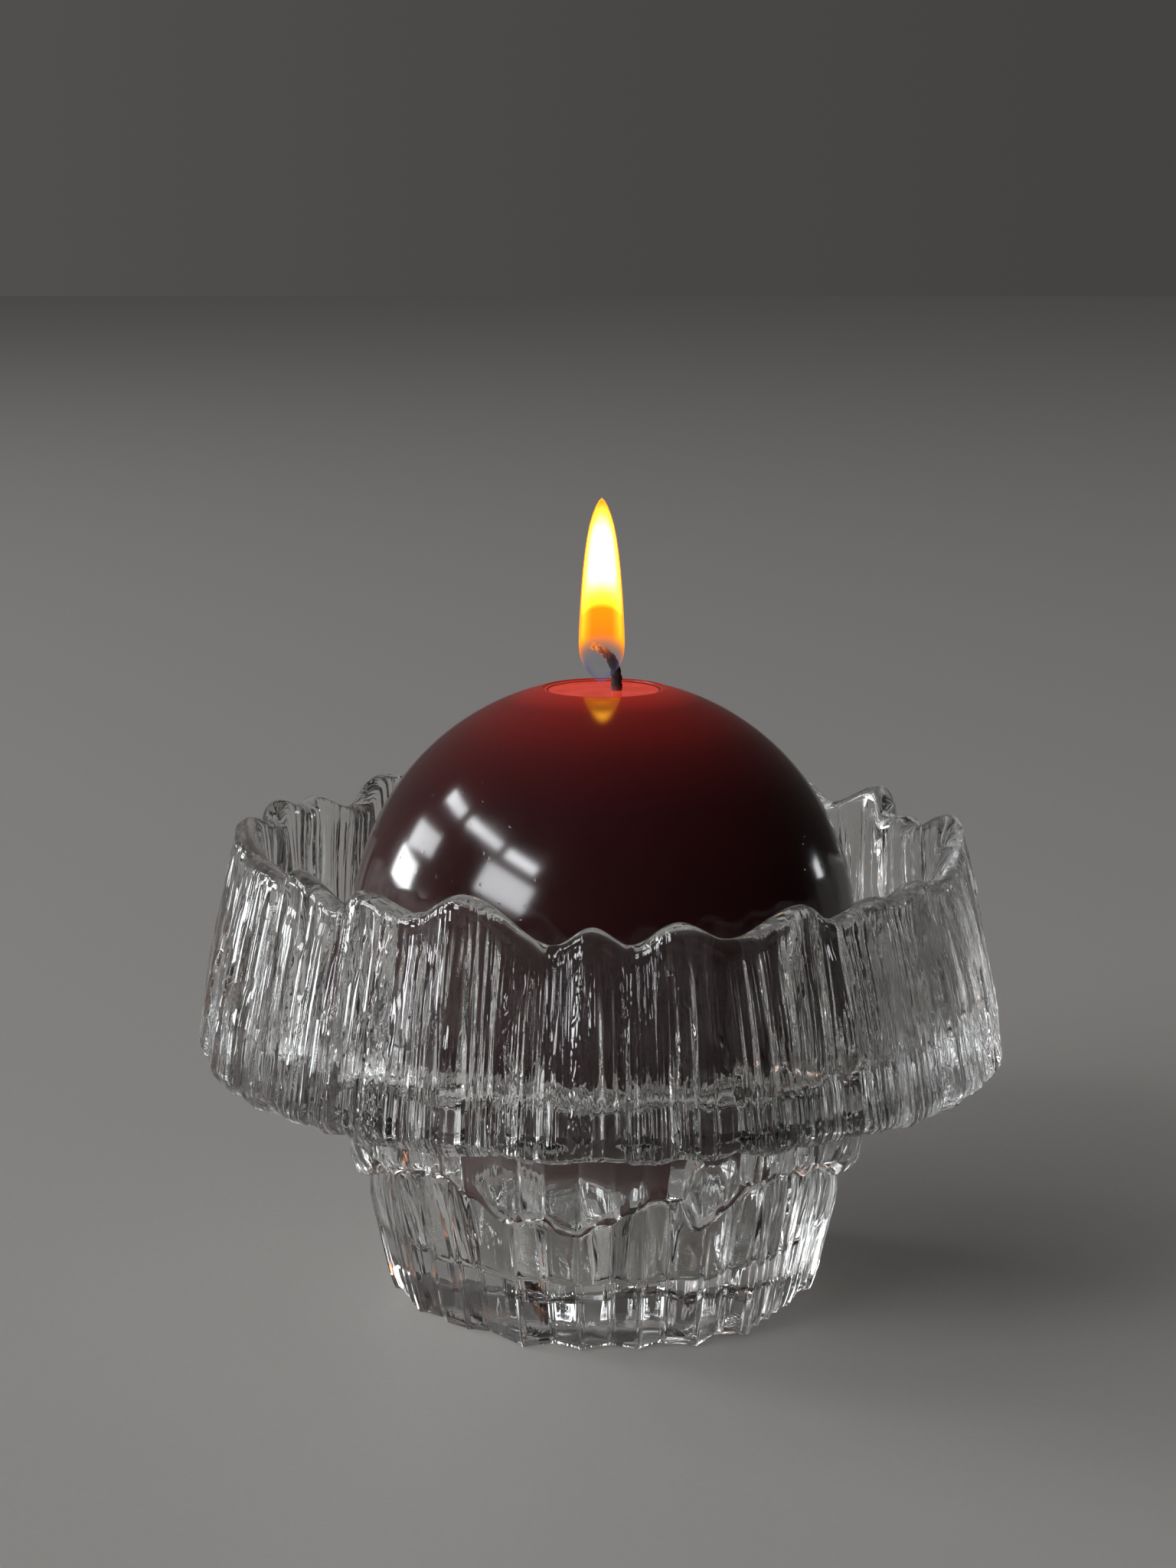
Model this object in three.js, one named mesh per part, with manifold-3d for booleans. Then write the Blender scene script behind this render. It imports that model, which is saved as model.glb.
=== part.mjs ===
/*
 * A pressed-glass candlestick with a lit ball candle standing in it.
 *
 * The holder is one casting: a panelled foot with a round well in it, a plain neck, and a wide
 * crown with a bark-like outside and a wavy, fire-polished rim.  The candle rests on the rounded
 * lip of the well.  It is a solid wax ball in a thin dipped coat, with a wick, a pool of melted
 * wax and a flame.
 *
 * Millimetres, +Z up, -Y to the front.  The origin is the centre of the foot on the table.
 */
import * as THREE from 'three';
import { mergeVertices } from 'three/addons/utils/BufferGeometryUtils.js';
import Module from 'manifold-3d';

const wasm = await Module();
wasm.setup();

// ---- Driving dimensions ----

const CLEARANCE = 0.3; // gap left between pieces that touch

// Candle
const BALL_RADIUS = 40;
const COAT_WALL = 1.6; // thickness of the dipped coat
const MOUTH_RADIUS = 9.5; // where the coat has melted away at the top
const BALL_FLAT_RADIUS = 9; // flat spot the candle stands on when it is out of the holder
const POOL_DROP = 0.5; // melted wax below the coat's lip
const POOL_EDGE_DEPTH = 0.8;
const POOL_DEPTH = 2.6; // at the middle
const WICK_RADIUS = 0.85;
const WICK_OFFSET = 2; // the wick stands this far to the right of the middle

// Seat and well
const WELL_FLOOR = 10; // thickness of the glass under the candle
const WELL_GAP = 8.3; // room between the well's floor and the ball
const SEAT_ANGLE = THREE.MathUtils.degToRad(61.2); // where the lip touches, from straight down
const SEAT_FILLET = 2.5; // radius of the rounded lip

// Foot and neck
const FOOT_RADIUS = 33;
const FOOT_RING_WIDTH = 10; // flat ring that stands on the table
const PUNT_DEPTH = 0.8; // hollow under the foot, inside the ring
const BASE_DRAFT = 0.2; // the foot widens this much for each millimetre up
const BASE_WALL = 5.5;
const SHOULDER_HEIGHT = 19; // top of the panels
const COLLAR_HEIGHT = 25; // lower end of the plain neck

// Crown
const CROWN_HEIGHT = 34.5; // underside to the middle of the rim's waves
const CROWN_GAP = 12.8; // room between the ball and the rim's inside
const CROWN_FLARE = 6.8; // the lower edge is this much wider than the rim
const CROWN_FLOOR_WALL = 5.5;
const CROWN_FLOOR_FALL = 3.3; // the crown's floor slopes down to the lip by this much
const CROWN_FILLET = 4; // inside corner between floor and wall
const INSIDE_DRAFT = 2.3; // the crown's inside is this much narrower at its floor
const RIM_WALL = 4.4;
const BARK_DEPTH = 0.6;
const FLUTE_DEPTH = 0.7;

// Flame, measured up from the melted wax
const FLAME_BASE = 1.3;
const FLAME_LENGTH = 28.9;
const FLAME_RADIUS = 3.6;
const FLAME_OFFSET = -0.3; // to the left of the middle

// Facets around each round piece
const GLASS_FACETS = 96;
const CANDLE_FACETS = 36;
const FLAME_FACETS = 16;
const WICK_FACETS = 8;
const BALL_STEPS = 15; // from the bottom of the ball to its top

// Crests and dips of the rim: degrees from +X, then height from the middle of the waves
const RIM_POINTS = [
  [-174, 2], [-166, 0], [-158, 1], [-150, -0.5], [-144, 2.5], [-135, -2], [-130, 1.5],
  [-120, -1], [-111, 3], [-98, -3], [-92, -1], [-86, -3.5], [-79, -0.5], [-70, -3.5],
  [-59, 0.5], [-52, -3], [-44, -0.5], [-39, -1.5], [-33, 0], [-20, -3], [-7, 0.5], [0, -1],
  [9, 2.5], [19, -1], [24, 0], [29, -1.5], [34, 3], [45, -1], [54, 2.5], [63, -0.5], [71, 1.5],
  [80, -1.5], [90, 2], [98, -0.5], [106, 1], [116, -2], [125, 2], [132, 3], [141, -1],
  [150, 2], [154, 1], [160, 3], [167, 0.5], [176, 3],
];

// Edges between the foot's flat panels over half a turn: degrees, then distance from its radius
const PANEL_EDGES = [
  [-172, 0.5], [-163, -0.5], [-151, 0], [-143, -1.5], [-139, -0.5], [-131, -1], [-125, -2],
  [-111, 1.5], [-104, -0.5], [-96, -1], [-88, 0], [-81, -1], [-74, 2], [-66, 2], [-57, 0],
  [-50, 1.5], [-43, -0.5], [-31, -1.5], [-27, -1], [-17, -1.5], [-6, 1],
];

// ---- Places that follow from them ----

const ballBottom = WELL_FLOOR + WELL_GAP;
const ballCentre = ballBottom + BALL_RADIUS;
const seatReach = BALL_RADIUS + CLEARANCE + SEAT_FILLET;
const seatRadius = seatReach * Math.sin(SEAT_ANGLE);
const seatHeight = ballCentre - seatReach * Math.cos(SEAT_ANGLE);
const wellMouth = seatRadius - SEAT_FILLET;
const shoulderRadius = FOOT_RADIUS + BASE_DRAFT * SHOULDER_HEIGHT;
const collarRadius = wellMouth + BASE_WALL;
const crownFloor = seatHeight + SEAT_FILLET + CROWN_FLOOR_FALL;
const crownBottom = crownFloor - CROWN_FLOOR_WALL;
const rimHeight = crownBottom + CROWN_HEIGHT;
const rimInside = BALL_RADIUS + CROWN_GAP;
const rimOutside = rimInside + RIM_WALL;
const crownInside = rimInside - INSIDE_DRAFT;

const lipHeight = ballCentre + heightOnSphere(BALL_RADIUS, MOUTH_RADIUS);
const poolHeight = lipHeight - POOL_DROP;
const poolRadius = MOUTH_RADIUS - CLEARANCE;
const coreRadius = BALL_RADIUS - COAT_WALL - CLEARANCE;
const coreFlatRadius = BALL_FLAT_RADIUS - CLEARANCE;
const coreBottom = ballCentre - heightOnSphere(coreRadius, coreFlatRadius);

// ---- Helpers ----

/** Height above a sphere's centre of the circle of radius r drawn on it. */
function heightOnSphere(radius, r) {
  return Math.sqrt(radius * radius - r * r);
}

/** Points of an arc in the (radius, height) plane, both ends included, angles in degrees. */
function arc(centreR, centreZ, radius, fromDegrees, toDegrees, steps) {
  return Array.from({ length: steps + 1 }, (_, i) => {
    const angle = THREE.MathUtils.degToRad(THREE.MathUtils.lerp(fromDegrees, toDegrees, i / steps));
    return [centreR + radius * Math.cos(angle), centreZ + radius * Math.sin(angle)];
  });
}

/** Value at an angle of a closed list of [degrees, value], blended between its points. */
function around(points, degrees, blend) {
  const after = points.findIndex(([at]) => at > degrees);
  const next = after < 0 ? 0 : after;
  const last = (next + points.length - 1) % points.length;
  const span = THREE.MathUtils.euclideanModulo(points[next][0] - points[last][0], 360);
  const done = THREE.MathUtils.euclideanModulo(degrees - points[last][0], 360);
  return THREE.MathUtils.lerp(points[last][1], points[next][1], blend(done / span));
}

/** Turn a (radius, height) profile about Z. */
function lathe(profile, facets) {
  const points = profile.map(([r, z]) => new THREE.Vector2(r, z));
  return new THREE.LatheGeometry(points, facets).rotateX(Math.PI / 2);
}

/** The geometry as a solid, with shared corners merged and empty triangles left out. */
function toSolid(geometry) {
  const bare = geometry.clone();
  bare.deleteAttribute('normal');
  bare.deleteAttribute('uv');
  const merged = mergeVertices(bare, 1e-4);
  const index = merged.index.array;
  const kept = [];
  for (let i = 0; i < index.length; i += 3) {
    const [a, b, c] = [index[i], index[i + 1], index[i + 2]];
    if (a !== b && b !== c && c !== a) {
      kept.push(a, b, c);
    }
  }
  return new wasm.Manifold(new wasm.Mesh({
    numProp: 3,
    vertProperties: new Float32Array(merged.attributes.position.array),
    triVerts: new Uint32Array(kept),
  }));
}

/** A solid as a geometry again. */
function toGeometry(solid) {
  const mesh = solid.getMesh();
  const geometry = new THREE.BufferGeometry();
  geometry.setAttribute('position', new THREE.BufferAttribute(mesh.vertProperties, 3));
  geometry.setIndex(new THREE.BufferAttribute(mesh.triVerts, 1));
  geometry.computeVertexNormals();
  return geometry;
}

/** One named piece with its own material. */
function piece(name, geometry, look) {
  const mesh = new THREE.Mesh(geometry, new THREE.MeshStandardMaterial(look));
  mesh.name = name;
  return mesh;
}

// ---- Glass holder ----

/** Height of the rim's waves at an angle. */
function rimWave(degrees) {
  return around(RIM_POINTS, degrees, (t) => (1 - Math.cos(Math.PI * t)) / 2);
}

/** How far the foot's flat panels stand out at an angle; the pattern comes twice in a turn. */
function panelRelief(degrees) {
  const half = degrees < 0 ? degrees : degrees - 180;
  const edges = [...PANEL_EDGES, [PANEL_EDGES[0][0] + 180, PANEL_EDGES[0][1]]];
  return around(edges, half < edges[0][0] ? half + 180 : half, (t) => t);
}

/** How far the bark's ridges stand out at an angle. */
function barkRelief(degrees) {
  const a = THREE.MathUtils.degToRad(degrees);
  const ridges = Math.sin(17 * a + 1) + 0.7 * Math.sin(23 * a + 4) + 0.5 * Math.sin(11 * a + 2);
  return (BARK_DEPTH * ridges) / 2.2;
}

/** How far the ragged lower edge of the neck hangs down at an angle. */
function collarDrip(degrees) {
  const a = THREE.MathUtils.degToRad(degrees);
  return Math.sin(9 * a) + 0.8 * Math.sin(14 * a + 2) + 0.6 * Math.sin(5 * a + 1);
}

/** Profile points of one stretch, each with the share of every relief that it takes. */
function stretch(points, relief = {}) {
  return points.map(([r, z]) => ({ r, z, panel: 0, drip: 0, bark: 0, flute: 0, wave: 0, ...relief }));
}

/** The foot: a punt inside a flat ring, then the panels, up to the shoulder. */
function footStretches() {
  const ringInside = FOOT_RADIUS - 1 - FOOT_RING_WIDTH;
  return [
    ...stretch([[0, PUNT_DEPTH], [ringInside - 2, PUNT_DEPTH], [ringInside, 0]]),
    ...stretch([[FOOT_RADIUS - 1, 0], [FOOT_RADIUS, 0.7]], { panel: 1 }),
    ...stretch([[shoulderRadius - BASE_DRAFT, SHOULDER_HEIGHT - 1]], { panel: 0.7 }),
  ];
}

/** The neck, from the ragged ledge over the panels to the crown's underside. */
function neckStretches() {
  const draft = 0.5;
  return [
    ...stretch([[(shoulderRadius + collarRadius) / 2, SHOULDER_HEIGHT + 2]], { drip: 1, panel: 0.4 }),
    ...stretch([[collarRadius, COLLAR_HEIGHT]], { drip: 1 }),
    ...stretch([[collarRadius + draft, crownBottom - 3], [collarRadius + 2, crownBottom - 0.5]]),
  ];
}

/** The crown's underside and its bark-like outside, up to the rim. */
function crownStretches() {
  const edge = rimOutside + CROWN_FLARE;
  const bellyHeight = crownBottom + 5;
  const shares = [0.2, 0.45, 0.7, 0.9];
  return [
    ...stretch([[edge - 4, crownBottom], [edge - 0.8, crownBottom + 2], [edge, bellyHeight]], { bark: 1 }),
    ...shares.flatMap((t) => stretch(
      [[THREE.MathUtils.lerp(edge, rimOutside, t), THREE.MathUtils.lerp(bellyHeight, rimHeight, t)]],
      { bark: 1 - 0.4 * t, flute: t, wave: t * t },
    )),
  ];
}

/** The rounded rim, from its outside over the top to its inside. */
function rimStretches() {
  const radius = RIM_WALL / 2;
  const top = arc(rimOutside - radius, rimHeight - radius, radius, 0, 180, 4);
  return stretch(top, { bark: 0.3, flute: 1, wave: 1 });
}

/** The crown's inside: the wall, the corner fillet and the sloping floor. */
function crownInsideStretches() {
  const wallFoot = crownFloor + CROWN_FILLET;
  const shares = [0.25, 0.6];
  const corner = arc(crownInside - CROWN_FILLET, wallFoot, CROWN_FILLET, 0, -90, 2);
  return [
    ...shares.flatMap((t) => stretch(
      [[THREE.MathUtils.lerp(rimInside, crownInside, t), THREE.MathUtils.lerp(rimHeight, wallFoot, t)]],
      { flute: 1 - t, wave: (1 - t) ** 2 },
    )),
    ...stretch(corner),
  ];
}

/** The rounded lip that the ball rests on, and the well below it down to its flat floor. */
function wellStretches() {
  const shoulderInside = shoulderRadius - BASE_WALL;
  const floorRadius = FOOT_RADIUS + BASE_DRAFT * WELL_FLOOR - BASE_WALL;
  const floorFillet = 3;
  return [
    ...stretch(arc(seatRadius, seatHeight, SEAT_FILLET, 90, 180, 4)),
    ...stretch([[wellMouth - 0.5, COLLAR_HEIGHT], [shoulderInside, SHOULDER_HEIGHT - 1]]),
    ...stretch(arc(floorRadius - floorFillet, WELL_FLOOR + floorFillet, floorFillet, 0, -90, 2)),
    ...stretch([[0, WELL_FLOOR]]),
  ];
}

/** The casting: one turned profile, then every corner moved by the reliefs that its row takes. */
function glassHolder() {
  const rows = [
    ...footStretches(),
    ...neckStretches(),
    ...crownStretches(),
    ...rimStretches(),
    ...crownInsideStretches(),
    ...wellStretches(),
  ];
  const geometry = lathe(rows.map(({ r, z }) => [r, z]), GLASS_FACETS);
  const place = geometry.attributes.position;
  for (let i = 0; i < place.count; i += 1) {
    const row = rows[i % rows.length];
    const facet = Math.floor(i / rows.length) % GLASS_FACETS;
    const degrees = THREE.MathUtils.euclideanModulo((360 * facet) / GLASS_FACETS + 90, 360) - 180;
    const wave = rimWave(degrees);
    const out = row.panel * panelRelief(degrees)
      + row.bark * barkRelief(degrees)
      + row.flute * FLUTE_DEPTH * (wave / 3);
    const grow = row.r > 0 ? (row.r + out) / row.r : 1;
    const up = row.wave * wave - row.drip * collarDrip(degrees);
    place.setXYZ(i, place.getX(i) * grow, place.getY(i) * grow, place.getZ(i) + up);
  }
  return piece('glass_holder', toGeometry(toSolid(geometry)), {
    color: 0xdde6e6, roughness: 0.05, metalness: 0, transparent: true, opacity: 0.4,
  });
}

// ---- Candle ----

/** Points up a sphere from the circle of radius fromR at its bottom to radius toR at its top. */
function ballSide(radius, fromR, toR) {
  const from = THREE.MathUtils.radToDeg(Math.acos(fromR / radius));
  const to = THREE.MathUtils.radToDeg(Math.acos(toR / radius));
  return arc(0, ballCentre, radius, -from, to, BALL_STEPS);
}

/** The dipped coat: a thin shell, open at the top where it has melted. */
function candleCoat() {
  const inner = BALL_RADIUS - COAT_WALL;
  const profile = [
    [0, ballCentre - heightOnSphere(BALL_RADIUS, BALL_FLAT_RADIUS)],
    ...ballSide(BALL_RADIUS, BALL_FLAT_RADIUS, MOUTH_RADIUS),
    ...ballSide(inner, BALL_FLAT_RADIUS, MOUTH_RADIUS).reverse(),
    [0, ballCentre - heightOnSphere(inner, BALL_FLAT_RADIUS)],
  ];
  return piece('candle_coat', lathe(profile, CANDLE_FACETS), {
    color: 0x2c0a14, roughness: 0.18, metalness: 0,
  });
}

/** The melted wax as a shallow bowl, with its top at the given height above its own surface. */
function poolSolid(grow, rise) {
  const radius = poolRadius + grow;
  const bowl = Array.from({ length: 7 }, (_, i) => {
    const share = i / 6;
    const depth = THREE.MathUtils.lerp(POOL_DEPTH, POOL_EDGE_DEPTH, share * share) + grow;
    return [radius * share, poolHeight - depth];
  });
  return toSolid(lathe([...bowl, [radius, poolHeight + rise], [0, poolHeight + rise]], CANDLE_FACETS));
}

/** The wick's line: straight up through the wax, then leaning over to the left. */
function wickLine(start) {
  const bend = [[0, 0], [0, 2.4], [-0.6, 4.5], [-1.9, 6.1], [-3.9, 7.2]];
  const straight = [start, (start + poolHeight) / 2, poolHeight - 4];
  return new THREE.CatmullRomCurve3([
    ...straight.map((z) => new THREE.Vector3(WICK_OFFSET, 0, z)),
    ...bend.map(([x, z]) => new THREE.Vector3(WICK_OFFSET + x, 0, poolHeight + z)),
  ]);
}

/** A tube along the wick's line, from a starting height to past its tip by `past`. */
function wickTube(radius, start, past) {
  const line = wickLine(start);
  const tip = line.getPoint(1).addScaledVector(line.getTangent(1), past);
  const path = past > 0 ? new THREE.CatmullRomCurve3([...line.points, tip]) : line;
  const section = new THREE.Shape(
    Array.from({ length: WICK_FACETS }, (_, i) => {
      const angle = (2 * Math.PI * i) / WICK_FACETS;
      return new THREE.Vector2(radius * Math.cos(angle), radius * Math.sin(angle));
    }),
  );
  return new THREE.ExtrudeGeometry(section, { extrudePath: path, steps: 30, bevelEnabled: false });
}

/** The room that the wick takes in the pieces around it. */
function wickRoom() {
  return toSolid(wickTube(WICK_RADIUS + CLEARANCE, ballBottom, CLEARANCE));
}

/** The wax ball inside the coat, with a dish for the pool and a bore for the wick. */
function candleCore() {
  const profile = [
    [0, coreBottom],
    ...ballSide(coreRadius, coreFlatRadius, MOUTH_RADIUS),
    [0, ballCentre + heightOnSphere(coreRadius, MOUTH_RADIUS)],
  ];
  const ball = toSolid(lathe(profile, CANDLE_FACETS));
  const solid = ball.subtract(poolSolid(CLEARANCE, BALL_RADIUS)).subtract(wickRoom());
  return piece('candle_core', toGeometry(solid), { color: 0x4a1016, roughness: 0.6, metalness: 0 });
}

/** The melted wax around the wick. */
function meltPool() {
  return piece('melt_pool', toGeometry(poolSolid(0, 0).subtract(wickRoom())), {
    color: 0xa01810, roughness: 0.08, metalness: 0,
  });
}

/** The wick, from the bottom of the wax to its bent, burning tip. */
function wick() {
  return piece('wick', toGeometry(toSolid(wickTube(WICK_RADIUS, coreBottom, 0))), {
    color: 0x1d1412, roughness: 0.9, metalness: 0,
  });
}

/** The flame: a drop around the wick, drawn out to a point. */
function flame() {
  const outline = [[0, 0], [0.35, 0.025], [0.75, 0.085], [1, 0.17], [1, 0.25], [0.94, 0.4],
    [0.83, 0.6], [0.7, 0.76], [0.5, 0.88], [0.25, 0.96], [0, 1]];
  const profile = outline.map(([out, up]) => [
    FLAME_RADIUS * out,
    poolHeight + FLAME_BASE + FLAME_LENGTH * up,
  ]);
  const drop = toSolid(lathe(profile, FLAME_FACETS).translate(FLAME_OFFSET, 0, 0));
  return piece('flame', toGeometry(drop.subtract(wickRoom())), {
    color: 0xffb040, roughness: 1, metalness: 0, emissive: 0xff9020,
  });
}

// ---- Assembly ----

const candlestick = new THREE.Group();
const candle = new THREE.Group();
candle.add(candleCoat(), candleCore(), meltPool(), wick(), flame());
candlestick.add(glassHolder(), candle);

export default candlestick;
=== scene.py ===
"""Looks of the glass candlestick: pressed glass, a dipped ball candle and its flame.

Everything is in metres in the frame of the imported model: +Z up, -Y to the front, the origin at
the centre of the foot.  Each sub-assembly is a class with its sizes as fields; each finish is a
frozen dataclass that builds its own material.
"""

import logging
import math
import random
from contextlib import contextmanager
from dataclasses import dataclass, field
from enum import Enum
from typing import Callable, Iterator, Protocol, Sequence

import bpy
import numpy as np
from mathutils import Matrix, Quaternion, Vector


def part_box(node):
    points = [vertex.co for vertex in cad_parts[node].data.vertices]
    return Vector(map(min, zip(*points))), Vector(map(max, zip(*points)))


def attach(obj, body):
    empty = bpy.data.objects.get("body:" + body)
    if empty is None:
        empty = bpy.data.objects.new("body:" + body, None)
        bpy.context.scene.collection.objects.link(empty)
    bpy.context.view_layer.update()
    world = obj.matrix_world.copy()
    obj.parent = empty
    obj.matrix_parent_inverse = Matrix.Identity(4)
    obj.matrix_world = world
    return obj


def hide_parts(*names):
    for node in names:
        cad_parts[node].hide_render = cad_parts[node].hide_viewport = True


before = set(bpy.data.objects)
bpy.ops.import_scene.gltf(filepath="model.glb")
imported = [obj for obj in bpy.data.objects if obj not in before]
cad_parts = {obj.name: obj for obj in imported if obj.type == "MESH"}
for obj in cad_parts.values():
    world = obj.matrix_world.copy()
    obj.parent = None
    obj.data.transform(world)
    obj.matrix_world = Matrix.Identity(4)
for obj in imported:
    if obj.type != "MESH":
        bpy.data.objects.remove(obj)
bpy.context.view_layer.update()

MM = 0.001
LOG = logging.getLogger("candlestick")

Colour = tuple[float, float, float, float]
Point = tuple[float, float]
Piece = bpy.types.Object
Socket = bpy.types.NodeSocket
Material = bpy.types.Material


class Body(Enum):
    """The rigid bodies that pieces ride on."""

    HOLDER = "holder"
    CANDLE = "candle"


class Slot(Enum):
    """The record's material slots."""

    GLASS = "glass"
    WAX_COAT = "wax_coat"
    WAX_CORE = "wax_core"
    MELTED_WAX = "melted_wax"
    WICK = "wick_cotton"
    FLAME = "flame_gas"


# ---- Working by hand: small wrappers round Blender's own operators ----


def pick(obj: Piece) -> None:
    """Make one object the only selected and active one."""
    bpy.ops.object.select_all(action="DESELECT")
    obj.select_set(True)
    bpy.context.view_layer.objects.active = obj


@contextmanager
def editing(obj: Piece) -> Iterator[None]:
    """Edit mode on one object, with vertices as the selection mode.

    Args:
        obj: the mesh object to shape.
    """
    pick(obj)
    bpy.ops.object.mode_set(mode="EDIT")
    bpy.ops.mesh.select_mode(type="VERT")
    yield
    bpy.ops.object.mode_set(mode="OBJECT")


def primitive(name: str, add: Callable[..., set], **settings: object) -> Piece:
    """Add a primitive and name it.

    Args:
        name: the new object's name.
        add: the operator that adds it.
        settings: the operator's own settings.

    Returns:
        The new object, with its place and size in its mesh.
    """
    bpy.ops.object.select_all(action="DESELECT")
    add(**settings)
    obj = bpy.context.active_object
    obj.name = name
    obj.data.name = name
    bpy.ops.object.transform_apply(location=True, rotation=True, scale=True)
    return obj


def apply_modifier(obj: Piece, kind: str, **settings: object) -> None:
    """Add a modifier and apply it at once.

    Args:
        obj: the object it shapes.
        kind: the modifier's type.
        settings: the modifier's properties.
    """
    modifier = obj.modifiers.new(kind.lower(), kind)
    for key, value in settings.items():
        setattr(modifier, key, value)
    bpy.context.view_layer.objects.active = obj
    bpy.ops.object.modifier_apply(modifier=modifier.name)


def smooth(obj: Piece) -> None:
    """Shade a piece smooth all over."""
    pick(obj)
    bpy.ops.object.shade_smooth()


def paint(obj: Piece, finish: "Finish") -> None:
    """Give a piece one finish in place of its materials."""
    obj.data.materials.clear()
    obj.data.materials.append(finish.material())


def corners(obj: Piece) -> np.ndarray:
    """The places of a mesh's corners, one row each."""
    flat = np.empty(3 * len(obj.data.vertices))
    obj.data.vertices.foreach_get("co", flat)
    return flat.reshape(-1, 3)


def move_corners(obj: Piece, places: np.ndarray) -> None:
    """Put a mesh's corners at new places."""
    obj.data.vertices.foreach_set("co", np.ascontiguousarray(places, dtype=np.float32).ravel())
    obj.data.update()


def turn(name: str, profile: Sequence[Point], steps: int) -> Piece:
    """Turn a profile about Z, as on a lathe.

    Each corner keeps the number of its profile point in the attribute "row".

    Args:
        name: the new piece's name.
        profile: (radius, height) points, in order.
        steps: corners around.

    Returns:
        The closed piece, with its seam and poles merged and its faces outwards.
    """
    obj = primitive(name, bpy.ops.mesh.primitive_plane_add, size=MM, location=(0, 0, 0))
    with editing(obj):
        bpy.ops.mesh.select_all(action="SELECT")
        bpy.ops.mesh.merge(type="CENTER")
        bpy.ops.transform.translate(value=(profile[0][0], 0, profile[0][1]))
        for (r0, z0), (r1, z1) in zip(profile, profile[1:]):
            bpy.ops.mesh.extrude_region_move(TRANSFORM_OT_translate={"value": (r1 - r0, 0, z1 - z0)})
    rows = obj.data.attributes.new("row", "FLOAT", "POINT")
    rows.data.foreach_set("value", np.arange(len(obj.data.vertices), dtype=np.float32))
    with editing(obj):
        bpy.ops.mesh.select_all(action="SELECT")
        bpy.ops.mesh.spin(steps=steps, angle=2 * math.pi, center=(0, 0, 0), axis=(0, 0, 1))
        bpy.ops.mesh.select_all(action="SELECT")
        bpy.ops.mesh.remove_doubles(threshold=1e-6)
        bpy.ops.mesh.normals_make_consistent(inside=False)
    return obj


def row_numbers(obj: Piece) -> np.ndarray:
    """The profile point that each corner of a turned piece came from."""
    rows = np.empty(len(obj.data.vertices), dtype=np.float32)
    obj.data.attributes["row"].data.foreach_get("value", rows)
    return np.rint(rows).astype(int)


def arc(centre: Point, radius: float, start: float, end: float, steps: int) -> list[Point]:
    """Points of an arc in the (radius, height) plane.

    Args:
        centre: the arc's centre.
        radius: its radius.
        start: first angle in degrees, from outwards towards up.
        end: last angle in degrees.
        steps: spaces between its points.

    Returns:
        The points, both ends included.
    """
    angles = np.radians(np.linspace(start, end, steps + 1))
    return [(centre[0] + radius * math.cos(a), centre[1] + radius * math.sin(a)) for a in angles]


# ---- Reliefs: how a moulded surface departs from its plain turned shape ----


def smoothstep(low: float | np.ndarray, high: float | np.ndarray, value: np.ndarray) -> np.ndarray:
    """A soft step from 0 at low to 1 at high."""
    share = np.clip((value - low) / (high - low), 0, 1)
    return share * share * (3 - 2 * share)


def apart(degrees: np.ndarray, other: float | np.ndarray) -> np.ndarray:
    """Signed difference between directions, from -180 to 180 degrees."""
    return (degrees - other + 180) % 360 - 180


def neighbours(points: Sequence[Point], degrees: np.ndarray) -> tuple[np.ndarray, ...]:
    """The two points of a closed (degrees, value) list on either side of some directions.

    Args:
        points: the list, in order of direction.
        degrees: where to read it.

    Returns:
        The directions, brought into the list's turn, then the direction of the point before and of
        the point after, then the value of each.
    """
    at = np.array([p[0] for p in points] + [points[0][0] + 360])
    value = np.array([p[1] for p in points] + [points[0][1]])
    turned = (degrees - at[0]) % 360 + at[0]
    left = np.clip(np.searchsorted(at, turned, side="right") - 1, 0, len(at) - 2)
    return turned, at[left], at[left + 1], value[left], value[left + 1]


def around(points: Sequence[Point], degrees: np.ndarray) -> np.ndarray:
    """Values of a closed (degrees, value) list at some directions, eased in and out of each point."""
    turned, start, end, before, after = neighbours(points, degrees)
    share = (1 - np.cos(np.pi * (turned - start) / (end - start))) / 2
    return before + (after - before) * share


def polygon(points: Sequence[Point], degrees: np.ndarray) -> np.ndarray:
    """Radius of a closed polygon with corners at (degrees, radius), at some directions."""
    turned, start, end, r0, r1 = neighbours(points, degrees)
    here, start, end = np.radians(turned), np.radians(start), np.radians(end)
    return r0 * r1 * np.sin(end - start) / (r0 * np.sin(here - start) + r1 * np.sin(end - here))


@dataclass(frozen=True)
class Sheet:
    """Soft random relief wrapped round the axis, from -1 to 1."""

    cells: int
    spacing: float
    seed: int
    rows: int = 64

    def at(self, degrees: np.ndarray, height: np.ndarray) -> np.ndarray:
        """Read the relief.

        Args:
            degrees: directions.
            height: heights in metres.

        Returns:
            One value per place.
        """
        rows, cells = self.rows, self.cells
        table = np.random.default_rng(self.seed).uniform(-1, 1, (rows, cells))
        u = (degrees % 360) / 360 * cells
        v = height / self.spacing + rows / 4
        i, j = np.floor(u).astype(int), np.floor(v).astype(int)
        s, t = smoothstep(0, 1, u - i), smoothstep(0, 1, v - j)
        below = table[j % rows, i % cells] * (1 - s) + table[j % rows, (i + 1) % cells] * s
        above = table[(j + 1) % rows, i % cells] * (1 - s) + table[(j + 1) % rows, (i + 1) % cells] * s
        return below * (1 - t) + above * t


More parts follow.
